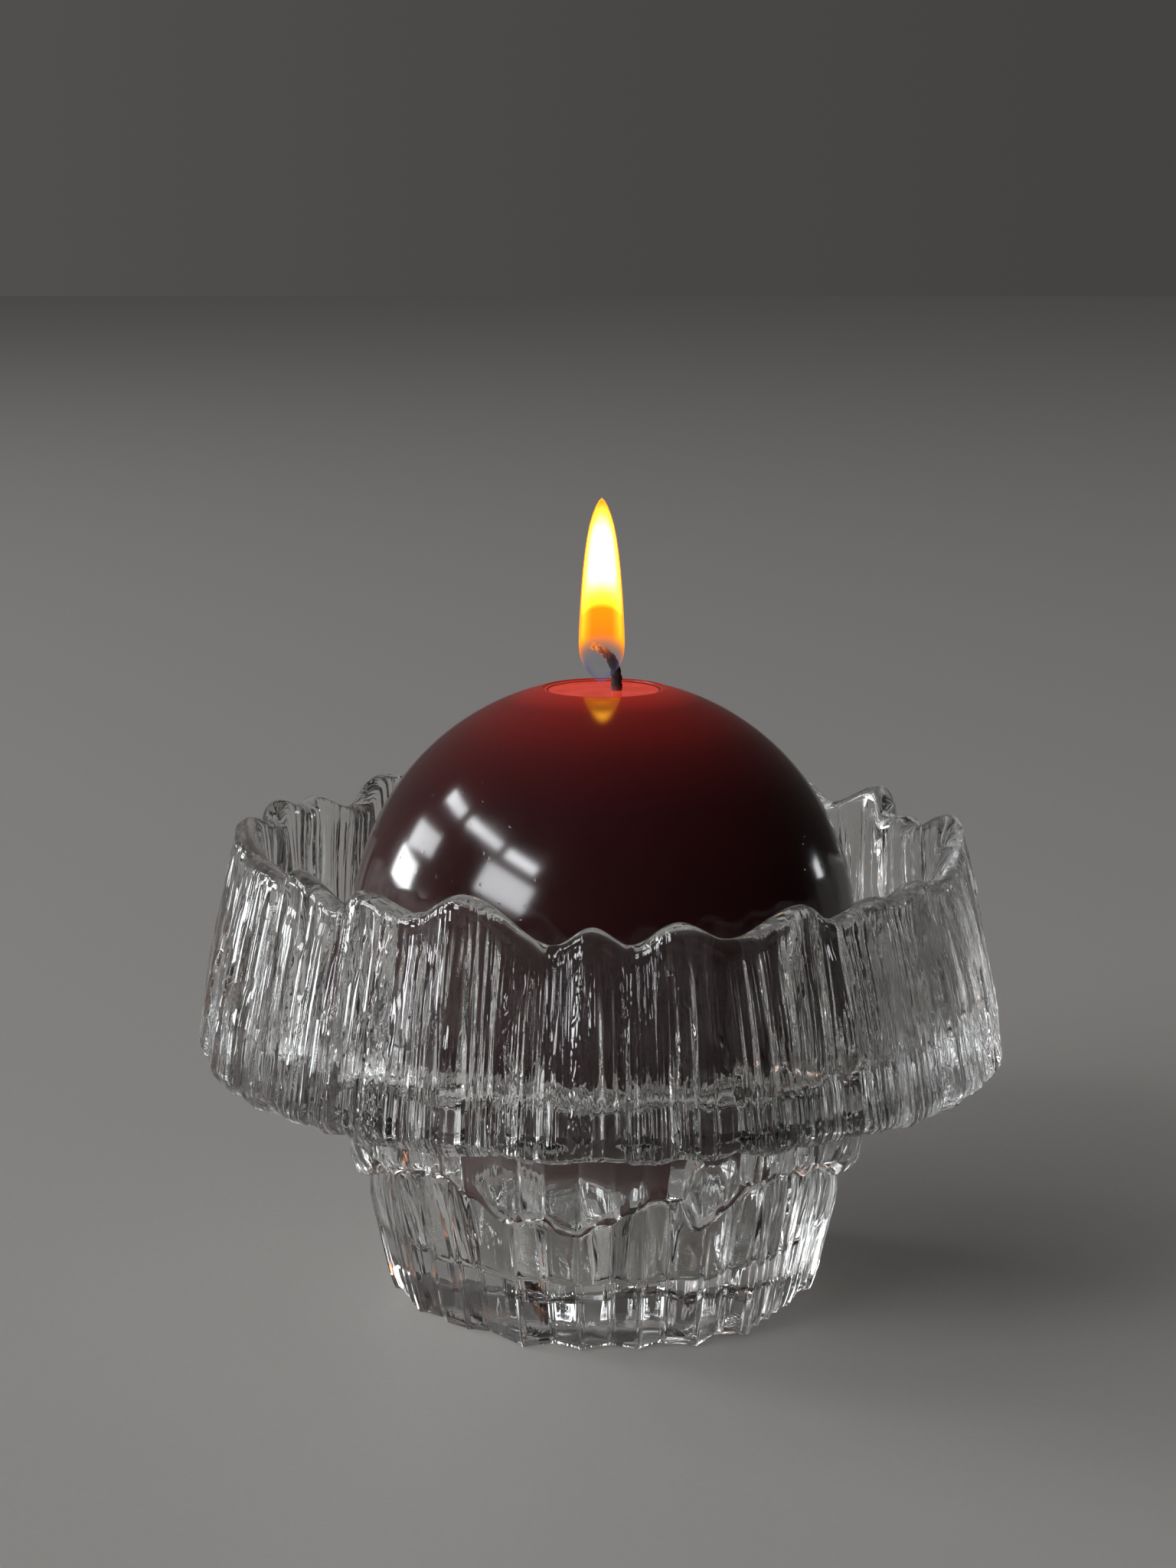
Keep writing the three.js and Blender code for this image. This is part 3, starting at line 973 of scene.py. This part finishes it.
@dataclass(frozen=True)
class PressedGlass:
    """Clear soda glass: fire-polished inside and at the rim, finely streaked on the bark."""

    colour: Colour = (0.975, 0.982, 0.976, 1)
    shade: Colour = (0.5, 0.5, 0.49, 1)
    ior: float = 1.52
    streak_depth: float = 0.34 * MM
    streaks_per_metre: float = 900
    strips_per_metre: float = 240
    grain_per_metre: float = 1300
    swells_per_metre: float = 70
    draws_per_metre: float = 420
    roughness: float = 0.015
    ripple: float = 0.45
    ripple_depth: float = 0.6 * MM
    coarse_above: float = 51 * MM
    coarse_below: float = 44 * MM
    coarser: float = 1.6

    def bark(self, mix: Recipe) -> Socket:
        """Height pattern of the bark: strips, each streaked, hammered or plain, with grooves between them.

        Args:
            mix: the material being put together.

        Returns:
            The pattern, from 0 to about 2.
        """
        streaks = mix.share(mix.noise(mix.wrapped(0.03), self.streaks_per_metre, 2), 0.36, 0.64)
        along = mix.wrapped(0.025)
        strip = mix.cells(along, self.strips_per_metre).outputs["Color"]
        chances = mix.add("ShaderNodeSeparateColor", {"Color": strip}).outputs
        streaked = mix.times(streaks, mix.share(chances["Red"], 0.3, 0.6, 0.1, 1.0))
        edges = mix.cells(along, self.strips_per_metre, "DISTANCE_TO_EDGE").outputs["Distance"]
        groove = mix.share(edges, 0.0, 0.1, 0, 0.6)
        grain = mix.share(mix.noise(mix.wrapped(0.35), self.grain_per_metre, 1), 0.35, 0.65)
        hammered = mix.times(grain, mix.share(chances["Green"], 0.8, 0.9, 0, 0.3))
        low = mix.share(mix.height(), self.coarse_above, self.coarse_below, 1.0, self.coarser)
        return mix.times(mix.plus(mix.plus(streaked, groove), hammered), low)

    def material(self) -> Material:
        """Build the glass.

        Returns:
            The material.
        """
        mix = Recipe("pressed_glass")
        bark = mix.add("ShaderNodeAttribute", attribute_name="bark").outputs["Fac"]
        marked = mix.bump(self.bark(mix), bark, self.streak_depth)
        drawn = mix.noise(mix.wrapped(0.12), self.draws_per_metre, 2)
        ripple = mix.plus(mix.noise(mix.place, self.swells_per_metre, 1), mix.times(drawn, 0.25))
        normal = mix.add(
            "ShaderNodeBump",
            {"Height": ripple, "Strength": self.ripple, "Distance": self.ripple_depth, "Normal": marked},
        ).outputs["Normal"]
        glass = mix.add("ShaderNodeBsdfPrincipled", {
            "Base Color": self.colour, "Roughness": self.roughness, "IOR": self.ior,
            "Transmission Weight": 1.0, "Normal": normal,
        })
        clear = mix.add("ShaderNodeBsdfTransparent", {"Color": self.shade})
        shadow = mix.add("ShaderNodeLightPath").outputs["Is Shadow Ray"]
        both = mix.add("ShaderNodeMixShader", {0: shadow, 1: glass.outputs[0], 2: clear.outputs[0]})
        return mix.finish(both.outputs[0])


@dataclass(frozen=True)
class DippedWax:
    """Glossy plum-red dipped wax, with painted light: redder and glowing near the top, where the flame shines
    in, and redder near the bottom.
    """

    top: float
    bottom: float
    dark: Colour = (0.017, 0.0017, 0.0026, 1)
    plum: Colour = (0.027, 0.0028, 0.0044, 1)
    # Red of the painted light, used near the top and near the bottom.
    red: Colour = (0.13, 0.008, 0.008, 1)
    # How far below the top the painted flame glow reaches.
    reach: float = 24 * MM

    def material(self) -> Material:
        """Build the coat's wax.

        Returns:
            The material.
        """
        mix = Recipe("dipped_wax")
        up = mix.share(mix.height(), self.top - self.reach, self.top)
        # Painted flame light: a share that rises steeply towards the top of the coat.
        painted_glow_share = mix.maths("POWER", up, 4.0)
        cloud = mix.noise(mix.place, 45, 2)
        plum = mix.ramp(cloud, ((0.3, self.dark), (0.7, self.plum)))
        # Painted light near the bottom: the wax is made redder within 14 mm of its lowest point.
        below = mix.share(mix.height(), self.bottom + 14 * MM, self.bottom)
        painted_red_share = mix.maths("MAXIMUM", painted_glow_share, below)
        # Wax colour, blended towards red where the painted light falls at the top and at the bottom.
        colour = mix.blend(painted_red_share, plum, self.red)
        # Painted glow: emission near the top stands for the flame's light shining into the wax.
        glow = mix.ramp(up, (
            (0.0, grey(0)), (0.4, (0.002, 0.0001, 0.0001, 1)), (0.7, (0.012, 0.0006, 0.0003, 1)),
            (0.92, (0.045, 0.0016, 0.0009, 1)), (1.0, (0.2, 0.009, 0.003, 1)),
        ))
        dust = mix.share(mix.cells(mix.place, 420.0).outputs["Distance"], 0.12, 0.05)
        roughness = mix.share(mix.noise(mix.place, 160, 3), 0.2, 0.8, 0.09, 0.16)
        uneven = mix.plus(mix.noise(mix.place, 38, 2), mix.times(dust, 0.15))
        normal = mix.bump(uneven, 0.25, 0.5 * MM)
        wax = mix.add("ShaderNodeBsdfPrincipled", {
            "Base Color": colour, "Roughness": roughness, "IOR": 1.45, "Normal": normal,
            "Subsurface Weight": 0.25, "Subsurface Scale": 0.008, "Subsurface Radius": (1.0, 0.15, 0.08),
            "Coat Weight": 0.25, "Coat Roughness": 0.12,
            "Emission Color": glow, "Emission Strength": 1.0,
        })
        return mix.finish(wax.outputs[0])


@dataclass(frozen=True)
class MeltedWax:
    """Liquid red wax, with the flame's light from above painted in as a red glow, and a dark line where it
    meets the coat.
    """

    edge: float

    def material(self) -> Material:
        """Build the pool's wax.

        Returns:
            The material.
        """
        mix = Recipe("melted_wax")
        mottle = mix.noise(mix.place, 260, 2)
        ring = mix.ramp(mix.share(mix.radius(), self.edge - 1.2 * MM, self.edge), (
            (0.0, grey(1)), (0.45, (1.0, 0.95, 0.95, 1)), (0.62, (0.22, 0.12, 0.12, 1)),
            (0.78, (0.22, 0.12, 0.12, 1)), (0.95, (0.8, 0.9, 0.9, 1)),
        ))
        wax = mix.ramp(mottle, ((0.3, (0.20, 0.022, 0.024, 1)), (0.7, (0.27, 0.036, 0.036, 1))))
        # Painted flame light: a brighter red copy of the wax colour, sent out below as emission.
        lit = mix.ramp(mottle, ((0.3, (0.42, 0.026, 0.012, 1)), (0.7, (0.54, 0.042, 0.018, 1))))
        colour = mix.blend(1.0, wax, ring, "MULTIPLY")
        glow = mix.blend(1.0, lit, ring, "MULTIPLY")
        ripple = mix.bump(mix.noise(mix.place, 120, 1), 0.15, 0.3 * MM)
        liquid = mix.add("ShaderNodeBsdfPrincipled", {
            "Base Color": colour, "Roughness": 0.05, "IOR": 1.44, "Normal": ripple,
            "Subsurface Weight": 0.5, "Subsurface Scale": 0.004, "Subsurface Radius": (1.0, 0.2, 0.1),
            "Emission Color": glow, "Emission Strength": 0.9,
        })
        return mix.finish(liquid.outputs[0])


@dataclass(frozen=True)
class CoreWax:
    """Plain red wax inside the coat, with a painted red glow near the top."""

    top: float

    def material(self) -> Material:
        """Build the core's wax.

        Returns:
            The material.
        """
        mix = Recipe("core_wax")
        up = mix.share(mix.height(), self.top - 12 * MM, self.top)
        grain = mix.noise(mix.place, 300, 3)
        colour = mix.ramp(grain, ((0.3, (0.2, 0.012, 0.012, 1)), (0.7, (0.3, 0.022, 0.018, 1))))
        # Painted glow: emission rising towards the top stands for the flame's light.
        glow = mix.ramp(up, ((0.0, grey(0)), (1.0, (0.5, 0.03, 0.01, 1))))
        wax = mix.add("ShaderNodeBsdfPrincipled", {
            "Base Color": colour, "Roughness": 0.45, "Normal": mix.bump(grain, 0.3, 0.2 * MM),
            "Emission Color": glow, "Emission Strength": 0.6,
        })
        return mix.finish(wax.outputs[0])


@dataclass(frozen=True)
class BurntCotton:
    """Waxed cotton below, black char above, with an ember at the tip."""

    surface: float
    tip: tuple[float, float, float]

    def material(self) -> Material:
        """Build the wick's cotton.

        Returns:
            The material.
        """
        mix = Recipe("burnt_cotton")
        burnt = mix.share(mix.height(), self.surface - 1 * MM, self.surface + 1 * MM)
        fibre = mix.noise(mix.stretched((1, 1, 0.4)), 2600, 3)
        char = mix.ramp(fibre, ((0.3, (0.003, 0.002, 0.002, 1)), (0.75, (0.02, 0.009, 0.007, 1))))
        colour = mix.blend(burnt, (0.3, 0.09, 0.08, 1), char)
        away = mix.vector("DISTANCE", {0: mix.place, 1: self.tip}, "Value")
        ember = mix.ramp(mix.times(mix.share(away, 5.0 * MM, 0.5 * MM), fibre), (
            (0.16, grey(0)), (0.32, (0.3, 0.06, 0.012, 1)), (0.6, (1.0, 0.3, 0.08, 1)),
        ))
        cotton = mix.add("ShaderNodeBsdfPrincipled", {
            "Base Color": colour, "Roughness": 0.85, "Normal": mix.bump(fibre, 0.9, 0.15 * MM),
            "Emission Color": ember, "Emission Strength": 1.0,
        })
        return mix.finish(cotton.outputs[0])


@dataclass(frozen=True)
class BurningGas:
    """Candle flame: clear and bluish at the foot, orange above it, then bright yellow."""

    base: float
    tip: float
    strength: float = 12.0

    def material(self) -> Material:
        """Build the flame's light.

        Returns:
            The material.
        """
        mix = Recipe("burning_gas")
        up = mix.share(mix.height(), self.base, self.tip)
        edge = mix.add("ShaderNodeLayerWeight", {"Blend": 0.5}).outputs["Facing"]
        domed = mix.plus(up, mix.times(edge, 0.1))
        colour = mix.ramp(domed, (
            (0.0, (0.16, 0.3, 1.0, 1)), (0.14, (0.3, 0.35, 0.8, 1)), (0.21, (1.0, 0.28, 0.06, 1)),
            (0.28, (1.0, 0.21, 0.008, 1)), (0.42, (1.0, 0.21, 0.004, 1)), (0.5, (1.0, 0.55, 0.02, 1)),
            (0.62, (1.0, 0.75, 0.16, 1)), (0.84, (1.0, 0.68, 0.12, 1)), (0.94, (1.0, 0.34, 0.03, 1)),
            (1.0, (1.0, 0.25, 0.02, 1)),
        ))
        bright = mix.ramp(domed, (
            (0.0, grey(0.03)), (0.14, grey(0.02)), (0.21, grey(0.07)),
            (0.28, grey(0.11)), (0.42, grey(0.15)), (0.53, grey(0.7)),
            (0.62, grey(1)), (0.82, grey(1)), (0.94, grey(0.3)), (1.0, grey(0.12)),
        ))
        hot = mix.share(up, 0.18, 0.26)
        yellow = mix.blend(mix.times(hot, mix.share(edge, 0.1, 0.42)), colour, (1.0, 0.5, 0.02, 1))
        outline = mix.times(hot, mix.share(edge, 0.45, 0.72))
        tinted = mix.blend(outline, yellow, (1.0, 0.3, 0.03, 1))
        dimmed = mix.blend(outline, bright, grey(0.13))
        glow = mix.add("ShaderNodeEmission", {
            "Color": tinted, "Strength": mix.times(dimmed, self.strength),
        })
        clear = mix.add("ShaderNodeBsdfTransparent")
        body = mix.ramp(domed, (
            (0.0, grey(0.03)), (0.15, grey(0.04)), (0.21, grey(0.16)),
            (0.28, grey(0.92)), (0.34, grey(1)),
        ))
        blue = mix.times(mix.share(up, 0.2, 0.1), mix.share(edge, 0.25, 0.9, 0, 0.4))
        solid = mix.times(mix.plus(body, blue), mix.share(edge, 0.99, 0.86))
        both = mix.add("ShaderNodeMixShader", {0: solid, 1: clear.outputs[0], 2: glow.outputs[0]})
        return mix.finish(both.outputs[0])


@dataclass(frozen=True)
class PaleTable:
    """A plain, satin table top."""

    colour: Colour = (0.35, 0.332, 0.318, 1)
    grain_per_metre: float = 900
    smoothest: float = 0.5
    roughest: float = 0.58

    def material(self) -> Material:
        """Build the table's surface.

        Returns:
            The material.
        """
        mix = Recipe("pale_table")
        grain = mix.noise(mix.place, self.grain_per_metre, 2)
        surface = mix.add("ShaderNodeBsdfPrincipled", {
            "Base Color": self.colour, "Roughness": mix.share(grain, 0.3, 0.7, self.smoothest, self.roughest),
            "Specular IOR Level": 0.3, "Normal": mix.bump(grain, 0.04, 0.1 * MM),
        })
        return mix.finish(surface.outputs[0])


# ---- Studio ----


@dataclass(frozen=True)
class Pane:
    """One window pane, as seen from the candle: angles in degrees, then brightness and tint.

    A pane that is not lighting falls on no dull surface, and one that is not mirrored shows only
    through the glass.
    """

    name: str
    direction: float
    height: float
    wide: float
    tall: float
    lean: float
    radiance: float
    tint: tuple[float, float, float] = (0.95, 0.98, 1.0)
    mirrored: bool = True
    lighting: bool = True


WARM = (1.0, 0.42, 0.22)
PANES: tuple[Pane, ...] = (
    Pane("front_pane", -140.2, 25, 26.5, 12.3, -12, 12),
    Pane("front_transom", -136.3, 37.1, 17, 4, -13.3, 21),
    Pane("middle_transom", -166.6, 40.4, 22.5, 3.6, 0, 18),
    Pane("back_transom", 162.4, 37.3, 16, 4, 14, 13),
    Pane("back_pane_high", 161.6, 22.5, 20, 7.5, 15, 9),
    Pane("back_pane_low", 159, 11.5, 16.7, 9, 2.5, 17),
    Pane("right_window", 32, 6, 5, 6, 0, 6),
    Pane("low_left", 180, 4.5, 30, 8, 0, 16, lighting=False),
    Pane("clear_left", 128, 10, 10, 14, 0, 7, mirrored=False, lighting=False),
    Pane("clear_right", 52, 10, 10, 14, 0, 5, mirrored=False, lighting=False),
    Pane("warm_left", 165, 18, 12, 8, 0, 5, WARM, mirrored=False, lighting=False),
    Pane("warm_right", 20, 16, 12, 8, 0, 5, WARM, mirrored=False, lighting=False),
)


@dataclass
class Studio:
    """Table, window-like softboxes, fill light and camera."""

    table_size: float = 8.0
    camera_place: tuple[float, float, float] = (-0.00244, -0.51968, 0.17835)
    camera_drop: float = 10.538
    lens: float = 77
    grey: float = 0.065
    window_distance: float = 2.6
    aim_height: float = 0.06
    sky_angle: float = 120
    sky_distance: float = 3
    sky_strength: float = 0.3

    def table(self) -> None:
        """Lay the table under the foot."""
        obj = primitive(
            "table", bpy.ops.mesh.primitive_plane_add, size=self.table_size, location=(0, 0, -0.05 * MM),
        )
        paint(obj, PaleTable())

    def hang(self, data: bpy.types.Light, direction: Vector, away: float, lean: float = 0) -> Piece:
        """Hang a light so that it faces the candlestick, out of the camera's sight.

        Args:
            data: the light.
            direction: where it stands, seen from the candle.
            away: how far.
            lean: its turn about the line to the candlestick, in degrees.

        Returns:
            The light's object.
        """
        lamp = bpy.data.objects.new(data.name, data)
        lamp.location = Vector((0, 0, self.aim_height)) + direction * away
        lean_turn = Quaternion((0, 0, 1), math.radians(lean))
        lamp.rotation_euler = (direction.to_track_quat("Z", "Y") @ lean_turn).to_euler()
        lamp.visible_camera = False
        bpy.context.scene.collection.objects.link(lamp)
        return lamp

    def window(self, pane: Pane) -> None:
        """Hang a softbox for one pane of the windows."""
        data = bpy.data.lights.new(pane.name, "AREA")
        data.shape = "RECTANGLE"
        data.size = 2 * self.window_distance * math.tan(math.radians(pane.wide / 2))
        data.size_y = 2 * self.window_distance * math.tan(math.radians(pane.tall / 2))
        data.energy = math.pi * data.size * data.size_y * pane.radiance
        data.color = pane.tint
        turned, raised = math.radians(pane.direction), math.radians(pane.height)
        level = math.cos(raised)
        direction = Vector((level * math.cos(turned), level * math.sin(turned), math.sin(raised)))
        lamp = self.hang(data, direction, self.window_distance, pane.lean)
        lamp.visible_glossy = pane.mirrored
        lamp.visible_diffuse = pane.lighting

    def lights(self) -> None:
        """Windows on the left, and a soft sky from above for an even table."""
        for pane in PANES:
            self.window(pane)
        sky = bpy.data.lights.new("soft_sky", "SUN")
        sky.energy = self.sky_strength
        sky.angle = math.radians(self.sky_angle)
        lamp = self.hang(sky, Vector((-0.4, -0.2, 1)).normalized(), self.sky_distance)
        lamp.visible_glossy = False
        lamp.visible_transmission = False

    def surroundings(self) -> None:
        """A plain grey room, lighter towards the windows and darker away from them."""
        world = bpy.data.worlds.new("room")
        world.use_nodes = True
        tree = world.node_tree
        towards = tree.nodes.new("ShaderNodeSeparateXYZ")
        tree.links.new(tree.nodes.new("ShaderNodeTexCoord").outputs["Generated"], towards.inputs[0])
        side = tree.nodes.new("ShaderNodeMapRange")
        side.inputs["From Min"].default_value = -1
        side.inputs["From Max"].default_value = 1
        tree.links.new(towards.outputs["X"], side.inputs["Value"])
        ramp = tree.nodes.new("ShaderNodeValToRGB")
        ramp.color_ramp.elements.new(0.5)
        for element, at, share in zip(ramp.color_ramp.elements, (0.0, 0.5, 1.0), (2.4, 1.0, 0.25)):
            element.position = at
            element.color = (share * self.grey, 0.97 * share * self.grey, 0.92 * share * self.grey, 1)
        tree.links.new(side.outputs["Result"], ramp.inputs["Fac"])
        tree.links.new(ramp.outputs["Color"], tree.nodes["Background"].inputs["Color"])
        bpy.context.scene.world = world

    def camera(self) -> None:
        """Stand the camera in front, looking down a little."""
        data = bpy.data.cameras.new("camera")
        data.lens = self.lens
        data.sensor_width = 36
        obj = bpy.data.objects.new("camera", data)
        obj.location = self.camera_place
        obj.rotation_euler = (math.radians(90 - self.camera_drop), 0, 0)
        bpy.context.scene.collection.objects.link(obj)
        bpy.context.scene.camera = obj

    def build(self) -> None:
        """Set up the whole studio."""
        self.camera()
        self.table()
        self.lights()
        self.surroundings()
        scene = bpy.context.scene
        scene.view_settings.view_transform = "Standard"
        scene.cycles.max_bounces = 24
        scene.cycles.transmission_bounces = 20
        scene.cycles.transparent_max_bounces = 16


def report(obj: Piece) -> None:
    """Log a piece's name and triangle count."""
    triangles = sum(len(face.vertices) - 2 for face in obj.data.polygons)
    LOG.info("%s: %d triangles", obj.name, triangles)


def main() -> None:
    """Build every sub-assembly in order, dress it, and light it."""
    logging.basicConfig(level=logging.INFO, format="%(name)s: %(message)s")
    Studio().build()
    holder = GlassHolder()
    casting = holder.build()
    holder.dress(casting)
    report(casting)
    candle = BallCandle()
    coat, pool = candle.coat(), candle.pool()
    candle.dress(coat, pool)
    wick = Wick()
    braid = wick.build()
    wick.dress(braid)
    flame = Flame()
    drop = flame.build()
    flame.dress(drop)
    for piece in (coat, pool, braid, drop):
        report(piece)


if __name__ == "__main__":
    main()
